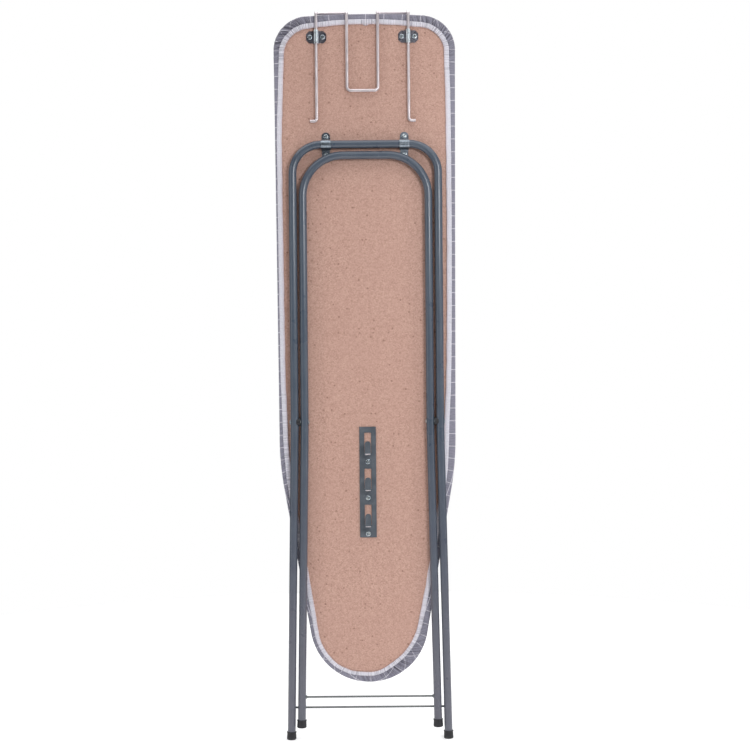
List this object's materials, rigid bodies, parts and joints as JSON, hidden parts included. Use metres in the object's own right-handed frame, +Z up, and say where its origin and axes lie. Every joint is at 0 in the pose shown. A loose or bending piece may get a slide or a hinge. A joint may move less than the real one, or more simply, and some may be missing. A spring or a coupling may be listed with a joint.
{
  "type": "folding ironing board",
  "caption": "Folding ironing board with a padded cotton-covered chipboard top, crossed tubular steel leg frames, a hooked height latch and a sliding wire iron rest, folded for storage.",
  "frame": {"origin": "middle of the bounding box in x and y, on the plane of the outer feet's bases", "axes": "+Z up along the folded board from the nose to the wide end, +Y out of the ironing face, +X to the right when the folded legs face the viewer"},
  "size_m": [0.2986, 0.036, 1.1963],
  "materials": {
    "chipboard": "raw chipboard with fine flakes",
    "felt": "foam-backed felt",
    "cotton": "woven cotton with a fine white grid",
    "elastic": "ribbed white elastic binding",
    "leg_paint": "semi-gloss blue-grey powder coat",
    "black_plastic": "moulded black plastic",
    "zinc": "zinc-plated pressed steel",
    "screw_zinc": "zinc-plated screws",
    "bright_wire": "bright drawn wire",
    "latch_paint": "dark grey paint"
  },
  "bodies": {
    "outer_legs": {"outer_leg_frame": "leg_paint", "outer_crossbar": "leg_paint", "outer_foot_left": "black_plastic", "outer_foot_right": "black_plastic", "pivot_rivet_left": "zinc", "pivot_rivet_right": "zinc", "pivot_spacer_left": "black_plastic", "pivot_spacer_right": "black_plastic"},
    "board": {"board_panel": "chipboard", "foam_pad": "felt", "cover": "cotton", "elastic_hem": "elastic", "leg_saddle_left": "zinc", "leg_saddle_right": "zinc", "saddle_screws": "screw_zinc", "rest_clip_left": "zinc", "rest_clip_right": "zinc", "clip_screws": "screw_zinc", "latch_plate": "latch_paint", "latch_screws": "screw_zinc"},
    "inner_legs": {"inner_leg_frame": "leg_paint", "inner_crossbar": "leg_paint", "inner_foot_left": "black_plastic", "inner_foot_right": "black_plastic"},
    "iron_rest": {"iron_rest": "bright_wire"}
  },
  "joints": [
    {"name": "board_hinge", "type": "hinge", "parent": "outer_legs", "child": "board", "pos_m": [0, -0.009, 0.975], "axis": [1, 0, 0], "range_deg": [0, 90]},
    {"name": "leg_scissor", "type": "hinge", "parent": "outer_legs", "child": "inner_legs", "pos_m": [0, -0.009, 0.52], "axis": [-1, 0, 0], "range_deg": [0, 88]},
    {"name": "iron_rest_slide", "type": "slide", "parent": "board", "child": "iron_rest", "axis": [0, 0, 1], "range_m": [0, 0.12]}
  ],
  "couplings": [
    {"joint": "leg_scissor", "follows": "board_hinge", "ratio": 0.041}
  ]
}
